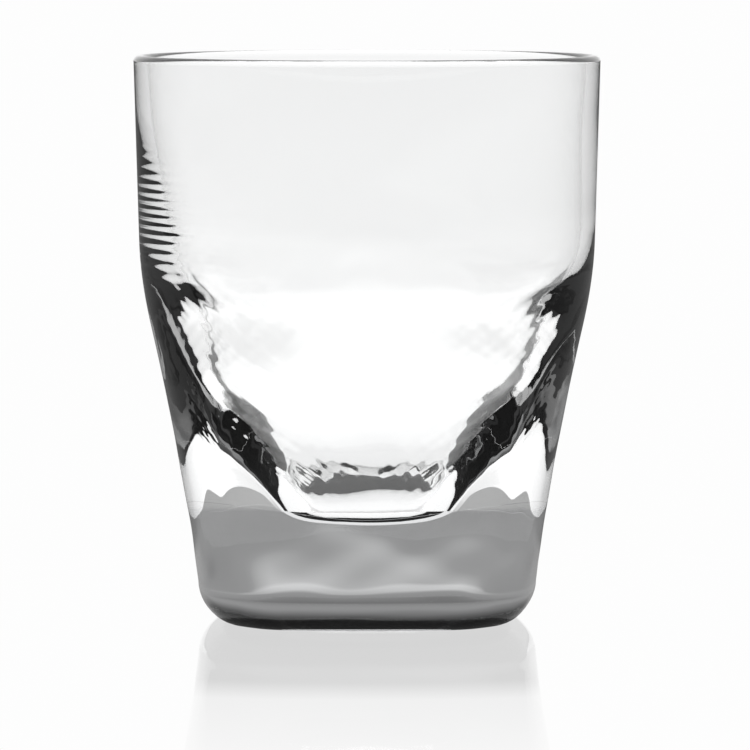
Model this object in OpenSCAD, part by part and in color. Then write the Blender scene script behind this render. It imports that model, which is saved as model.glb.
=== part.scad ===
// Whiskey tumbler: a round glass whose lower half has four arched flats, inside as well as outside,
// so that its cavity narrows to a rounded square over a solid foot of smoke-grey glass. The two
// gathers are fused on one level plane. Millimetres, +Z up, origin on the axis at the table.

/* [Tumbler] */
// Height from the table to the rim
height = 100; // [92:1:108]
// Outside diameter at the rim
rim_d = 83; // [82:0.5:87]
// Outside diameter at the waist, just above the flats
waist_d = 80.7; // [79.5:0.1:81.5]
// Height of the waist
waist_z = 59; // [54:1:64]
// Thickness of the wall at the rim, which is fire-polished to a half round
rim_t = 2.4; // [2:0.1:3]

/* [Foot] */
// Diameter across the corner columns at the table, before the edge is rounded
foot_d = 66; // [64:0.5:69]
// Radius of the rounded edge around the foot
foot_round = 6.5; // [4:0.5:8]
// How far the corner columns swell outside a straight cone
column_bow = 1.5; // [0.5:0.1:2]
// Radius of the shallow hollow under the foot
punt_r = 18; // [14:0.5:20]
// Depth of that hollow
punt_h = 1.2; // [0.6:0.1:2]

/* [Flats] */
// Distance from the axis to the middle of a flat at the table
flat_foot = 29.3; // [28.5:0.1:30]
// Distance from the axis to the middle of a flat at the height of the waist
flat_waist = 40.1; // [39.4:0.1:40.2]
// How far a flat is hollow along its height
flat_bow = 0.9; // [0.5:0.1:1.2]
// Radius of a flat's slight crown from side to side, halfway up
flat_crown = 90; // [75:5:150]

/* [Cavity] */
// Thickness of the wall where the cavity starts to narrow
shoulder_t = 3.9; // [3.6:0.1:4.2]
// Height at which the cavity starts to narrow
shoulder_z = 64; // [62:1:67]
// Distance from the axis to an inner flat at the cavity floor
inner_flat_floor = 14.2; // [13.4:0.1:15]
// Distance from the axis to an inner flat just above the waist
inner_flat_waist = 35.4; // [35:0.1:35.8]
// Distance from the axis to the cavity's rounded corners at its floor
floor_corner_r = 17; // [16.6:0.1:17.6]
// Height of the plane on which the clear glass meets the grey glass
fuse_z = 21.5; // [20.5:0.5:22.5]
// How far the cavity floor dips into the grey glass
floor_dip = 2.4; // [1:0.1:2.8]

/* [Hidden] */
$fn = 128;

FLAT_COUNT = 4;
SIDE_STEPS = 12;     // segments along each long curve
ROUND_STEPS = 6;     // segments along each small rounding
FLOOR_POWER = 6;     // 2 would be a round dish, more is a flatter floor with a steeper edge
CLEAR = 10;          // how far cutters reach past the glass
rim_r = rim_d / 2;
waist_r = waist_d / 2;
foot_r = foot_d / 2;
lip_r = rim_t / 2;
shoulder_r = outer_r(shoulder_z) - shoulder_t;
dish_r = inner_flat_floor - 0.2;    // the dish in the floor stays just inside the inner flats
inner_waist_z = waist_z + 2;
crown_x = flat_crown - flat_d(waist_z / 2);    // each flat is turned about an upright line this far behind the axis

// Radius or distance at a fraction t of the height: a chord with a parabolic bow.
function bowed(low, high, bow, t) = low + (high - low) * t + 4 * bow * t * (1 - t);

// Outside radius of the round glass, before the flats and the foot's rounding.
function outer_r(z) = z < waist_z
    ? bowed(foot_r, waist_r, column_bow, z / waist_z)
    : waist_r + (rim_r - waist_r) * (z - waist_z) / (height - waist_z);

// Distance from the axis to the middle of an outer flat.
function flat_d(z) = bowed(flat_foot, flat_waist, -flat_bow, z / waist_z);

// Distance from the axis to an inner flat.
function inner_flat_d(z) = inner_flat_floor
    + (inner_flat_waist - inner_flat_floor) * (z - fuse_z) / (inner_waist_z - fuse_z);

// Point on a cubic Bezier curve through a to d.
function bezier(a, b, c, d, t) =
    a * pow(1 - t, 3) + 3 * b * t * pow(1 - t, 2) + 3 * c * t * t * (1 - t) + d * pow(t, 3);

// The rounded edge of the foot, from the table up, below a side that starts at the distance d0.
function foot_edge(d0) = [for (k = [0 : ROUND_STEPS - 1])
    let (a = 90 * k / ROUND_STEPS)
    [d0 - foot_round * (1 - sin(a)), foot_round * (1 - cos(a))]];

// Side of the round glass from one height to another.
function side(from, to, steps) = [for (k = [0 : steps])
    let (z = from + (to - from) * k / steps)
    [outer_r(z), z]];

// The half-round lip, from its outside to its inside.
function lip() = [for (k = [0 : 2 * ROUND_STEPS])
    let (a = 90 * k / ROUND_STEPS)
    [rim_r - lip_r + lip_r * cos(a), height - lip_r + lip_r * sin(a)]];

// The corners of the cavity, from its shoulder down to its floor.
function corner_curve() = [for (k = [0 : SIDE_STEPS])
    bezier([shoulder_r, shoulder_z], [shoulder_r - 0.8, shoulder_z - 14],
           [floor_corner_r + 13, fuse_z + 12.5], [floor_corner_r, fuse_z], k / SIDE_STEPS)];

// Half section of the clear glass through the middle of a corner.
module clear_section() {
    polygon(concat(side(fuse_z, waist_z, SIDE_STEPS), lip(), corner_curve()));
}

// Half section of the lower cavity through the middle of a corner.
module lower_cavity_section() {
    polygon(concat([[0, fuse_z], [0, shoulder_z]], corner_curve()));
}

// Half section of the grey glass: hollow underneath, resting ring, rounded edge, dished floor.
module smoke_section() {
    polygon(concat(
        [for (k = [0 : ROUND_STEPS])
            let (t = k / ROUND_STEPS) [punt_r * t, punt_h * (1 - t * t)]],
        foot_edge(outer_r(foot_round)),
        side(foot_round, fuse_z, ROUND_STEPS),
        [for (k = [SIDE_STEPS : -1 : 0])
            let (t = k / SIDE_STEPS) [dish_r * t, fuse_z - floor_dip * (1 - pow(t, FLOOR_POWER))]]));
}

// Everything outside one flat and the rounded edge of the foot below it.
module flat_cutter() {
    top = waist_z + CLEAR;
    translate([-crown_x, 0, 0])
        rotate_extrude()
            translate([crown_x, 0])
                polygon(concat(
                    [[flat_foot - foot_round, -CLEAR]],
                    foot_edge(flat_d(foot_round)),
                    [for (k = [0 : SIDE_STEPS])
                        let (z = foot_round + (top - foot_round) * k / SIDE_STEPS)
                        [flat_d(z), z]],
                    [[rim_r + CLEAR, top], [rim_r + CLEAR, -CLEAR]]));
}

// Everything outside one inner flat.
module inner_flat_cutter() {
    low = fuse_z - CLEAR;
    high = shoulder_z + CLEAR;
    rotate([90, 0, 0])
        linear_extrude(height = rim_d, center = true)
            polygon([[inner_flat_d(low), low], [rim_d, low], [rim_d, high], [inner_flat_d(high), high]]);
}

// Copies its children once for each flat.
module each_flat() {
    for (k = [0 : FLAT_COUNT - 1])
        rotate([0, 0, 360 / FLAT_COUNT * k]) children();
}

// The glass that the inner flats leave inside the round lower cavity.
module inner_flat_glass() {
    intersection() {
        rotate_extrude() lower_cavity_section();
        each_flat() inner_flat_cutter();
    }
}

module clear_body() {
    color([0.86, 0.9, 0.92, 0.45])
        difference() {
            union() {
                rotate_extrude() clear_section();
                inner_flat_glass();
            }
            each_flat() flat_cutter();
        }
}

module smoke_base() {
    color([0.42, 0.43, 0.44, 0.9])
        difference() {
            rotate_extrude() smoke_section();
            each_flat() flat_cutter();
        }
}

clear_body();
smoke_base();
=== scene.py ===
"""A whiskey tumbler: the looks, in millimetres until a mesh is made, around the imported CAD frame."""

import math

import bpy
import numpy as np
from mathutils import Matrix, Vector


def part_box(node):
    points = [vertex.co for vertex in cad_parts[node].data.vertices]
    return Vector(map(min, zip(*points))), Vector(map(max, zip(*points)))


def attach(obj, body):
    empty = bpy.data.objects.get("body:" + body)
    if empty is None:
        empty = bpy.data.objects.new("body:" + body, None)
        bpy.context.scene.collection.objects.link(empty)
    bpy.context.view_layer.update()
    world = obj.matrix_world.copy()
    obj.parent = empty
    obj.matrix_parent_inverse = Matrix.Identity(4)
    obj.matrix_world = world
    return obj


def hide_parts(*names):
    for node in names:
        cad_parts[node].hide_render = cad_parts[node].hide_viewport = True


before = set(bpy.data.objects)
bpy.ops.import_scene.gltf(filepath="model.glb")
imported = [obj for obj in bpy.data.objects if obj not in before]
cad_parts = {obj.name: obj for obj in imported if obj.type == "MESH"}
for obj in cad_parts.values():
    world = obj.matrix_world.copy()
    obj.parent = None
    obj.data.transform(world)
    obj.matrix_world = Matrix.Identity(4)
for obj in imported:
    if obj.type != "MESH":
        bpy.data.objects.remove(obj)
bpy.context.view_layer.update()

MM = 0.001

# ---------------------------------------------------------------- dimensions, from the frame
clear_low, clear_high = (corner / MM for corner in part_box("clear_body"))
smoke_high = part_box("smoke_base")[1] / MM
HEIGHT = clear_high[2]
RIM_R = (clear_high[0] - clear_low[0]) / 2
FUSE_Z = smoke_high[2]

# ---------------------------------------------------------------- dimensions of the glass
WAIST_R = 40.35         # outside radius above the flats
WAIST_Z = 59.0
LIP_R = 1.2             # the fire-polished lip is a half round
LIP_STEP = 10           # degrees between the rings of the lip
FOOT_R = 33.0           # corner columns at the table
FOOT_ROUND = 6.5
FOOT_STEPS = 12
COLUMN_BOW = 1.5
FLAT_FOOT = 29.3        # distance from the axis to a flat, at the table and at the waist
FLAT_WAIST = 40.1
FLAT_BOW = 0.9          # how far a flat is hollow along its height
FLAT_CROWN = 90.0       # radius of its slight crown from side to side
CREASE = 1.6            # softness of the edges between flats and columns
PUNT_R = 18.0           # the shallow hollow underneath
PUNT_H = 1.2
PUNT_STEPS = 40
RESTING_STEPS = 13      # rings across the flat that the glass stands on
FLOOR_DIP = 2.4
FLOOR_POWER = 4.0       # 2 is a round dish, more is flatter with a steeper edge
FLOOR_STEPS = 24
POLE_SHARE = 0.04       # the innermost ring around a pole, as a share of the outermost
SIDE_RINGS = 110
FOOT_SIDE_RINGS = 24
FUNNEL_STEPS = 24
FUSE_SWAY = 1.2         # how far the fused plane climbs at the corners of the glass and sinks at the flats
FUSE_STEPS = 6
FUSE_GAP = 0.03         # keeps the two fused faces apart, so that a ray meets both

# Cavity: half width at the flats, height above the table, corner radius as a share of the half width
CAVITY = [(13.8, 21.5, 0.45), (17.3, 26.5, 0.4), (22.0, 34.0, 0.4), (26.5, 43.0, 0.45),
          (31.3, 54.0, 0.78), (35.0, 61.0, 0.93), (36.7, 68.0, 1.0), (37.5, 77.0, 1.0),
          (38.4, 88.0, 1.0), (39.1, 98.8, 1.0)]

# Waves are (number around, radians per millimetre of height, phase, size).
# Moulding left these in the cavity wall:
WAVES = ((3, 0.11, 0.4, 0.050), (5, 0.23, 2.1, 0.040), (7, 0.38, 4.0, 0.030), (11, 0.62, 1.3, 0.020))
# These are at its corners, where the glass chilled against the mould first:
CHILL = ((23, 0.9, 3.0, 0.024), (37, 1.3, 0.7, 0.018), (53, -2.1, 2.2, 0.018), (71, 2.9, 5.1, 0.012))
WAVY_LOW, WAVY_HIGH = 20.0, 64.0
WAVY_EDGE = 3.0         # how soon the waves reach their full size between those heights
# These are slower, on the outside, and die out upwards:
SWELLS = ((4, 0.21, 0.9, 0.06), (6, -0.33, 2.7, 0.05), (9, 0.47, 4.4, 0.03), (14, -0.7, 1.1, 0.014))
SWELL_TOP = 44.0
SWELL_FADE = 30.0

LEAN = 1.35             # how far the cavity is off centre, halfway between these heights
LEAN_LOW, LEAN_HIGH = 30.0, 90.0
CHATTER = 0.1           # fine rings on one side of the wall
CHATTER_STEP = 1.6
CHATTER_LOW, CHATTER_HIGH = 57.0, 86.0
CHATTER_SIDE = math.pi  # the middle of that side, and how far it reaches around
CHATTER_SPREAD = 0.5
CHATTER_DRIFT = 1.5     # the rings are unevenly spaced: their phase drifts this much, this slowly
CHATTER_DRIFT_STEP = 2.9

NOTCHES = 26            # shallow moulded notches around the hollow underneath
NOTCH_LOW, NOTCH_HIGH = 17.0, 23.0
NOTCH_DEPTH = 0.4

AROUND = 384            # points around the glass
PHI = np.arange(AROUND) * 2 * math.pi / AROUND
TO_FLAT = np.maximum(np.abs(np.cos(PHI)), np.abs(np.sin(PHI)))   # cosine of the angle to the nearest flat
TO_FLAT_ANGLE = np.arccos(np.clip(TO_FLAT, -1, 1))


# ---------------------------------------------------------------- curves
def bowed(low, high, bow, t):
    """A value at a fraction t of the way from low to high, on a chord with a parabolic bow."""
    return low + (high - low) * t + 4 * bow * t * (1 - t)


def hump(z, low, high):
    """0 outside low..high, 1 in the middle, smooth."""
    t = np.clip((z - low) / (high - low), 0, 1)
    return np.sin(math.pi * t) ** 2


def soft_min(a, b, width):
    """The smaller of two values, blended where they are within width of each other."""
    mix = np.clip(0.5 + 0.5 * (b - a) / width, 0, 1)
    return b + (a - b) * mix - width * mix * (1 - mix)


def ripples(waves, z):
    """The sum of a table of waves at a height, all the way round."""
    return sum(size * np.sin(count * PHI + pitch * z + phase) for count, pitch, phase, size in waves)


def smooth_curve(points, steps):
    """A Catmull-Rom curve through points of any number of values."""
    p = np.array(points, float)
    p = np.vstack([2 * p[0] - p[1], p, 2 * p[-1] - p[-2]])
    out = []
    for i in range(1, len(p) - 2):
        for k in range(steps):
            t = k / steps
            out.append(0.5 * (2 * p[i] + (p[i + 1] - p[i - 1]) * t
                              + (2 * p[i - 1] - 5 * p[i] + 4 * p[i + 1] - p[i + 2]) * t * t
                              + (3 * p[i] - p[i - 1] - 3 * p[i + 1] + p[i + 2]) * t ** 3))
    out.append(p[-2])
    return np.array(out)


def rounded_square(half, corner):
    """Radius, all the way round, of a square of half width half with corners of radius corner."""
    m = half - corner
    at_flat = half / TO_FLAT
    bend = np.clip(m * m * (np.sin(2 * TO_FLAT_ANGLE) - 1) + corner * corner, 0, None)
    at_corner = m * (np.cos(TO_FLAT_ANGLE) + np.sin(TO_FLAT_ANGLE)) + np.sqrt(bend)
    return np.where(np.tan(TO_FLAT_ANGLE) <= m / half, at_flat, at_corner)


# ---------------------------------------------------------------- sections of the glass
def outer_round(z):
    """Outside radius of the round glass, without flats."""
    column = bowed(FOOT_R, WAIST_R, COLUMN_BOW, z / WAIST_Z)
    bowl = WAIST_R + (RIM_R - WAIST_R) * (z - WAIST_Z) / (HEIGHT - WAIST_Z)
    return np.where(z < WAIST_Z, column, bowl)


def side_ring(z):
    """Outside of the glass at a height, all the way round."""
    centre = bowed(FLAT_FOOT, FLAT_WAIST, -FLAT_BOW, z / WAIST_Z) - FLAT_CROWN
    flat = centre * TO_FLAT + np.sqrt(FLAT_CROWN ** 2 - centre ** 2 * (1 - TO_FLAT ** 2))
    fade = np.clip((SWELL_TOP - z) / SWELL_FADE, 0, 1)
    return soft_min(outer_round(z), flat, CREASE) + ripples(SWELLS, z) * fade


def cavity_ring(point):
    """Inside of the glass at one point of the cavity's curve, all the way round."""
    half, z, share = point
    wall = rounded_square(half, half * min(share, 1.0))
    chill = ripples(CHILL, z) * np.sin(2 * PHI) ** 2
    waves = (ripples(WAVES, z) + chill) * min(1.0, WAVY_EDGE * hump(z, WAVY_LOW, WAVY_HIGH))
    side = np.exp(-((PHI - CHATTER_SIDE) / CHATTER_SPREAD) ** 2)
    phase = 2 * math.pi * z / CHATTER_STEP + CHATTER_DRIFT * math.sin(z / CHATTER_DRIFT_STEP)
    chatter = CHATTER * math.sin(phase) * hump(z, CHATTER_LOW, CHATTER_HIGH) * side
    lean = LEAN * np.cos(PHI) * hump(z, LEAN_LOW, LEAN_HIGH)
    return wall + waves + chatter + lean


def fuse_edge():
    """Height of the fused plane at the outside wall, all the way round."""
    return FUSE_Z - FUSE_SWAY * np.cos(4 * PHI)


def notch(r):
    """How far a notch reaches up into the foot at a radius."""
    return NOTCH_DEPTH * np.clip(np.cos(NOTCHES * PHI), 0, 1) ** 2 * hump(r, NOTCH_LOW, NOTCH_HIGH)


# ---------------------------------------------------------------- meshes
class Rings:
    """Rings of points, one after another, that make_mesh joins with bands of faces."""

    def __init__(self):
        self.points = []
        self.fused = []         # 1 where the band after a ring is part of the fused plane

    def add(self, radius, height, fused=0):
        radius = np.broadcast_to(radius, AROUND)
        height = np.broadcast_to(height, AROUND)
        self.points.append(np.c_[radius * np.cos(PHI), radius * np.sin(PHI), height])
        self.fused.append(fused)

    def make_mesh(self, name, poles=None):
        """An object from the rings: closed on itself, or with a pole before the first and after the last."""
        count = len(self.points)
        verts = np.concatenate(self.points)
        faces, marks = [], []
        for i in range(count if poles is None else count - 1):
            a, b = i * AROUND, (i + 1) % count * AROUND
            for k in range(AROUND):
                j = (k + 1) % AROUND
                faces.append((a + k, a + j, b + j, b + k))
                marks.append(self.fused[i])
        if poles is not None:
            first, last = len(verts), len(verts) + 1
            end = (count - 1) * AROUND
            faces += [(first, (k + 1) % AROUND, k) for k in range(AROUND)]
            faces += [(last, end + k, end + (k + 1) % AROUND) for k in range(AROUND)]
            marks += [0] * (2 * AROUND)
            verts = np.vstack([verts, poles])
        mesh = bpy.data.meshes.new(name)
        mesh.from_pydata((verts * MM).tolist(), [], faces)
        mark = mesh.attributes.new("fused", "FLOAT", "FACE")
        mark.data.foreach_set("value", np.array(marks, np.float32))
        mesh.polygons.foreach_set("use_smooth", np.array(marks) == 0)
        mesh.validate()
        mesh.update()
        self.sharpen(mesh)
        obj = bpy.data.objects.new(name, mesh)
        bpy.context.scene.collection.objects.link(obj)
        return obj

    def sharpen(self, mesh):
        """Makes the fused plane's border sharp, or its normals would bend those of the polished walls."""
        borders = [i for i in range(len(self.fused)) if self.fused[i] != self.fused[i - 1]]
        ends = np.empty(2 * len(mesh.edges), np.int32)
        mesh.edges.foreach_get("vertices", ends)
        ends = ends.reshape(-1, 2) // AROUND
        sharp = mesh.attributes.new("sharp_edge", "BOOLEAN", "EDGE")
        sharp.data.foreach_set("value", (ends[:, 0] == ends[:, 1]) & np.isin(ends[:, 0], borders))


def make_clear():
    rings = Rings()
    # up the outside
    for t in np.linspace(0, 1, SIDE_RINGS):
        z = fuse_edge() * (1 - t) + (HEIGHT - LIP_R) * t
        rings.add(side_ring(z), z)
    # over the lip
    for a in np.radians(np.arange(LIP_STEP, 180 - LIP_STEP + 1, LIP_STEP)):
        rings.add(RIM_R - LIP_R + LIP_R * math.cos(a), HEIGHT - LIP_R + LIP_R * math.sin(a))
    # down the cavity
    inner = smooth_curve(CAVITY, FUNNEL_STEPS)
    for point in inner[::-1]:
        rings.add(cavity_ring(point), point[1])
    rings.fused[-1] = 1
    # the fused plane, outwards
    edge = cavity_ring(inner[0])
    side = side_ring(fuse_edge())
    for t in np.linspace(0, 1, FUSE_STEPS)[1:-1]:
        rings.add(edge + (side - edge) * t, FUSE_Z + (fuse_edge() - FUSE_Z) * t, 1)
    return rings.make_mesh("clear_bowl")


def make_smoke():
    rings = Rings()
    # the hollow underneath, outwards
    for t in np.linspace(POLE_SHARE, 1, PUNT_STEPS):
        rings.add(PUNT_R * t, PUNT_H * (1 - t * t) + notch(PUNT_R * t))
    # the resting ring
    side_low = side_ring(FOOT_ROUND)
    edge = side_low - FOOT_ROUND
    for t in np.linspace(0, 1, RESTING_STEPS + 1)[1:-1]:
        r = PUNT_R + (edge - PUNT_R) * t
        rings.add(r, notch(r))
    # the rounded edge of the foot
    for a in np.radians(np.linspace(0, 90, FOOT_STEPS + 1))[:-1]:
        rings.add(side_low - FOOT_ROUND * (1 - math.sin(a)), FOOT_ROUND * (1 - math.cos(a)))
    # up the side
    high = fuse_edge() - FUSE_GAP
    for t in np.linspace(0, 1, FOOT_SIDE_RINGS):
        z = FOOT_ROUND + (high - FOOT_ROUND) * t
        rings.add(side_ring(z), z)
    rings.fused[-1] = 1
    # the fused plane, inwards
    top = FUSE_Z - FUSE_GAP
    side = side_ring(high)
    edge = cavity_ring(CAVITY[0])
    for t in np.linspace(0, 1, FUSE_STEPS)[1:]:
        rings.add(side + (edge - side) * t, high + (top - high) * t, 1)
    rings.fused[-1] = 0
    # the dished floor of the cavity, inwards
    for t in np.linspace(1, POLE_SHARE, FLOOR_STEPS)[1:]:
        rings.add(edge * t, top - FLOOR_DIP * (1 - t ** FLOOR_POWER))
    return rings.make_mesh("smoke_foot", poles=[(0, 0, PUNT_H), (0, 0, top - FLOOR_DIP)])


# ---------------------------------------------------------------- node helpers
class Graph:
    """Short forms for making the nodes of one tree."""

    def __init__(self, tree):
        self.tree = tree
        tree.nodes.clear()

    def add(self, kind, **settings):
        node = self.tree.nodes.new("ShaderNode" + kind)
        for name, value in settings.items():
            setattr(node, name, value)
        return node

    def join(self, value, socket):
        """Links a socket to an input, or sets the input to a plain value."""
        if isinstance(value, bpy.types.NodeSocket):
            self.tree.links.new(value, socket)
        else:
            socket.default_value = value

    def math(self, operation, *values):
        node = self.add("Math", operation=operation)
        for value, socket in zip(values, node.inputs):
            self.join(value, socket)
        return node.outputs[0]

    def mix(self, share, first, second):
        """A shader that goes from the first to the second as share goes from 0 to 1."""
        node = self.add("MixShader")
        for value, socket in zip((share, first, second), node.inputs):
            self.join(value, socket)
        return node.outputs[0]

    def ramp(self, value, stops, low=0.0, high=1.0, interpolation="LINEAR"):
        """A level that follows value: stops are (value, level) pairs between low and high."""
        node = self.add("ValToRGB")
        node.color_ramp.interpolation = interpolation
        elements = node.color_ramp.elements
        while len(elements) < len(stops):
            elements.new(0.5)
        for element, (place, level) in zip(elements, stops):
            element.position = (place - low) / (high - low)
            element.color = (level, level, level, 1)
        share = self.math("DIVIDE", self.math("SUBTRACT", value, low), high - low)
        self.join(share, node.inputs["Fac"])
        return node.outputs["Color"]


# ---------------------------------------------------------------- materials
IOR = 1.52
RIPPLE_SCALE = 45.0         # per metre: the slow swell of fire-polished glass
RIPPLE_HEIGHT = 0.000004    # metres
GRAIN_SCALE = 900.0         # the fine skin that the mould leaves
GRAIN_HEIGHT = 0.0000002    # metres
PATCH_SCALE = RIPPLE_SCALE * 3
POLISH = 0.004              # roughness in patches, where hands and cloths have touched
SCUFF_HEIGHT = 0.0002       # metres: the resting ring is scuffed this far up
SCUFF_SCALE = 1400.0
SCUFF_SHARE = 0.52          # noise above this is a scuff
SCUFF_ROUGH = 0.2
CLEAR_TINT = (0.988, 0.991, 0.991)
CLEAR_STREAK = 0.006        # how much darker the streaks of the melt are
SMOKE_TINT = (1.0, 1.0, 1.0)
SMOKE_STREAK = 0.03
SMOKE_ABSORBS = (0.5, 0.51, 0.52)
SMOKE_DENSITY = 12.0


def polished_glass(graph, tint, streak, scuffed):
    """The shader of polished glass, with streaks in its colour, patches in its polish, and ripples."""
    place = graph.add("NewGeometry").outputs["Position"]

    def noise(scale, detail):
        node = graph.add("TexNoise")
        graph.join(place, node.inputs["Vector"])
        graph.join(scale, node.inputs["Scale"])
        graph.join(detail, node.inputs["Detail"])
        return node.outputs["Fac"]

    def bump(distance, height):
        node = graph.add("Bump")
        graph.join(distance, node.inputs["Distance"])
        graph.join(height, node.inputs["Height"])
        return node

    glass = graph.add("BsdfPrincipled")
    graph.join(1.0, glass.inputs["Transmission Weight"])
    graph.join(IOR, glass.inputs["IOR"])
    # colour: a faint streakiness of the melt
    streaks = graph.add("MixRGB")
    graph.join(noise(RIPPLE_SCALE, 2), streaks.inputs["Fac"])
    graph.join((*tint, 1), streaks.inputs["Color1"])
    graph.join((*(channel - streak for channel in tint), 1), streaks.inputs["Color2"])
    graph.join(streaks.outputs[0], glass.inputs["Base Color"])
    # roughness: almost none, in patches, and scuffs on the ring that the glass stands on
    rough = graph.math("MULTIPLY", graph.math("GREATER_THAN", noise(PATCH_SCALE, 2), 0.5), POLISH)
    if scuffed:
        split = graph.add("SeparateXYZ")
        graph.join(place, split.inputs[0])
        low = graph.math("LESS_THAN", split.outputs["Z"], SCUFF_HEIGHT)
        scratch = graph.math("GREATER_THAN", noise(SCUFF_SCALE, 2), SCUFF_SHARE)
        scuff = graph.math("MULTIPLY", graph.math("MULTIPLY", low, scratch), SCUFF_ROUGH)
        rough = graph.math("MAXIMUM", rough, scuff)
    graph.join(rough, glass.inputs["Roughness"])
    # bump: slow ripples, and the mould's grain
    ripple = bump(RIPPLE_HEIGHT, noise(RIPPLE_SCALE, 1))
    grain = bump(GRAIN_HEIGHT, noise(GRAIN_SCALE, 1))
    graph.join(ripple.outputs[0], grain.inputs["Normal"])
    graph.join(grain.outputs[0], glass.inputs["Normal"])
    return glass.outputs[0]


def glass_material(name, tint, streak, scuffed=False, absorbs=None, density=0.0):
    """Polished glass that turns transparent where the mesh's fused attribute is 1."""
    material = bpy.data.materials.new(name)
    material.use_nodes = True
    graph = Graph(material.node_tree)
    glass = polished_glass(graph, tint, streak, scuffed)
    # fused faces let light straight on into the other piece
    fused = graph.add("Attribute", attribute_name="fused").outputs["Fac"]
    out = graph.add("OutputMaterial")
    graph.join(graph.mix(fused, glass, graph.add("BsdfTransparent").outputs[0]), out.inputs["Surface"])
    if absorbs:
        absorb = graph.add("VolumeAbsorption")
        graph.join((*absorbs, 1), absorb.inputs["Color"])
        graph.join(density, absorb.inputs["Density"])
        graph.join(absorb.outputs[0], out.inputs["Volume"])
    return material


clear_glass = glass_material("clear_glass_polished", CLEAR_TINT, CLEAR_STREAK)
smoke_glass = glass_material("smoke_glass_polished", SMOKE_TINT, SMOKE_STREAK, scuffed=True,
                             absorbs=SMOKE_ABSORBS, density=SMOKE_DENSITY)

# ---------------------------------------------------------------- pieces
for piece, material, node, slot in ((make_clear(), clear_glass, "clear_body", "clear_glass"),
                                    (make_smoke(), smoke_glass, "smoke_base", "smoke_glass")):
    piece.data.materials.append(material)
    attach(piece, "root")
    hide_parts(node)

# ---------------------------------------------------------------- stage
# The stage is white where it is seen directly, and graded where it is seen through the glass. The
# grading by the number of reflections is tuned, and no real light does it.
# Stops are (value, level) pairs.
WHITE = (0.985, 0.985, 0.985, 1)
BOUNCE_PAINTED_SHADE = ((0, 1.0), (1.5, 0.04), (2.5, 0.4), (3.5, 0.02))     # painted shade on the stage, by the number of reflections
BOUNCE_MAX = 8
FLOOR_PAINTED_SHADE_BEHIND_GLASS = ((0.0, 1.0), (0.12, 0.96), (0.22, 0.8), (0.45, 0.76), (1.6, 0.74))   # painted shade of the floor seen through the glass, by metres away
FLOOR_FAR = 2.0
FLOOR_PAINTED_LIGHT_GAIN = 1.3            # painted light: the floor seen through the glass glows brighter than the floor seen directly
FLOOR_SHINE = ((0.0, 0.34), (0.09, 0.32), (0.11, 0.12), (0.2, 0.04))    # share of gloss, by metres away
SHINE_FAR = 0.6
FLOOR_ROUGH = 0.008
FLOOR_SIZE = 40.0
FLOOR_DROP = 0.0002         # metres: keeps the floor off the resting ring
MIRRORED_PAINTED_SHADE = 0.88     # painted shade: taken off the floor where the outside of the glass mirrors it
BACKDROP = ((-90, 1.0), (-4, 1.0), (0.0, 0.95), (3.0, 0.44),
            (8, 0.38), (15, 0.16), (22, 0.01), (90, 0.01))              # by degrees of elevation


def painted_stage_level(graph, light_path, through_glass):
    """How bright the stage is, and whether it is seen directly. The brightness is 1 when it is. Seen
    through the glass it is the level given, darkened again with painted shade by the number of reflections."""
    direct = graph.math("LESS_THAN", light_path.outputs["Transmission Depth"], 0.5)
    # painted shade: the stage seen through the glass is darkened by the number of reflections
    painted_bounce_shade = graph.ramp(light_path.outputs["Glossy Depth"], BOUNCE_PAINTED_SHADE, 0, BOUNCE_MAX, "CONSTANT")
    graded = graph.math("MULTIPLY", through_glass, painted_bounce_shade)
    indirect = graph.math("SUBTRACT", 1.0, direct)
    return graph.math("ADD", graph.math("MULTIPLY", graded, indirect), direct), direct


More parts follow.
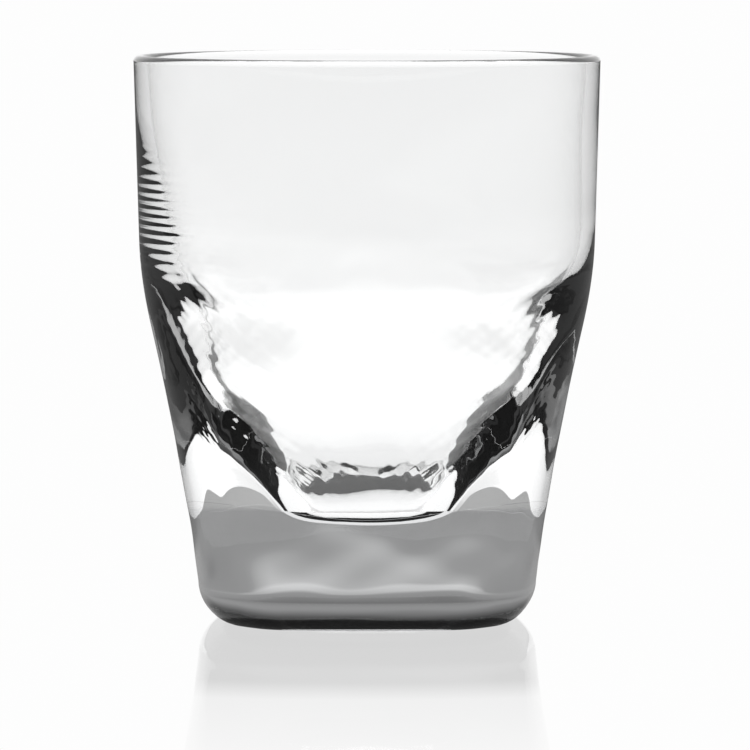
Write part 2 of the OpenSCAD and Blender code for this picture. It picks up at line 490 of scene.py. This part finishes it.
def floor_material():
    material = bpy.data.materials.new("pale_floor")
    material.use_nodes = True
    graph = Graph(material.node_tree)
    light_path = graph.add("LightPath")
    length = graph.add("VectorMath", operation="LENGTH")
    graph.join(graph.add("NewGeometry").outputs["Position"], length.inputs[0])
    away = length.outputs["Value"]
    # painted light and shade on the floor seen through the glass, by distance from the middle of the glass
    through_glass = graph.math("MULTIPLY", graph.ramp(away, FLOOR_PAINTED_SHADE_BEHIND_GLASS, 0, FLOOR_FAR), FLOOR_PAINTED_LIGHT_GAIN)
    level, direct = painted_stage_level(graph, light_path, through_glass)
    # painted shade: the floor is darker where it is seen in a reflection
    reflected = graph.math("GREATER_THAN", light_path.outputs["Glossy Depth"], 0.5)
    mirrored = graph.math("MULTIPLY", direct, reflected)
    painted_mirror_shade = graph.math("SUBTRACT", 1.0, graph.math("MULTIPLY", mirrored, MIRRORED_PAINTED_SHADE))
    emit = graph.add("Emission")
    graph.join(WHITE, emit.inputs["Color"])
    graph.join(graph.math("MULTIPLY", level, painted_mirror_shade), emit.inputs["Strength"])
    gloss = graph.add("BsdfGlossy")
    graph.join((1, 1, 1, 1), gloss.inputs["Color"])
    graph.join(FLOOR_ROUGH, gloss.inputs["Roughness"])
    shine = graph.math("MULTIPLY", graph.ramp(away, FLOOR_SHINE, 0, SHINE_FAR), direct)
    surface = graph.mix(shine, emit.outputs[0], gloss.outputs[0])
    graph.join(surface, graph.add("OutputMaterial").inputs["Surface"])
    return material


def studio_world():
    world = bpy.data.worlds.new("studio")
    world.use_nodes = True
    graph = Graph(world.node_tree)
    split = graph.add("SeparateXYZ")
    graph.join(graph.add("TexCoord").outputs["Generated"], split.inputs[0])
    elevation = graph.math("DEGREES", graph.math("ARCSINE", split.outputs["Z"]))
    level, _ = painted_stage_level(graph, graph.add("LightPath"), graph.ramp(elevation, BACKDROP, -90, 90))
    background = graph.add("Background")
    graph.join(WHITE, background.inputs["Color"])
    graph.join(level, background.inputs["Strength"])
    graph.join(background.outputs[0], graph.add("OutputWorld").inputs["Surface"])
    return world


bpy.ops.mesh.primitive_plane_add(size=FLOOR_SIZE, location=(0, 0, -FLOOR_DROP))
floor = bpy.context.object
floor.name = "floor"
floor.data.materials.append(floor_material())

scene = bpy.context.scene
scene.world = studio_world()

# ---------------------------------------------------------------- camera
CAMERA_AWAY = 1000.0
CAMERA_ABOVE = 24.0         # over the rim
CAMERA_ASIDE = 1.42
CAMERA_PITCH = 4.634        # degrees below level
CAMERA_LENS = 269.76
SENSOR_WIDTH = 36.0
CLIP_START = 0.01           # metres

camera_data = bpy.data.cameras.new("camera")
camera_data.sensor_width = SENSOR_WIDTH
camera_data.lens = CAMERA_LENS
camera_data.dof.use_dof = False
camera_data.clip_start = CLIP_START
camera = bpy.data.objects.new("camera", camera_data)
camera.location = (CAMERA_ASIDE * MM, -CAMERA_AWAY * MM, (HEIGHT + CAMERA_ABOVE) * MM)
camera.rotation_euler = (math.radians(90 - CAMERA_PITCH), 0, 0)
scene.collection.objects.link(camera)
bpy.context.scene.camera = camera

scene.view_settings.view_transform = "Standard"
scene.cycles.use_denoising = True
scene.cycles.max_bounces = 32
scene.cycles.transmission_bounces = 32
scene.cycles.glossy_bounces = 16
scene.cycles.transparent_max_bounces = 32
scene.cycles.caustics_reflective = True
scene.cycles.caustics_refractive = True
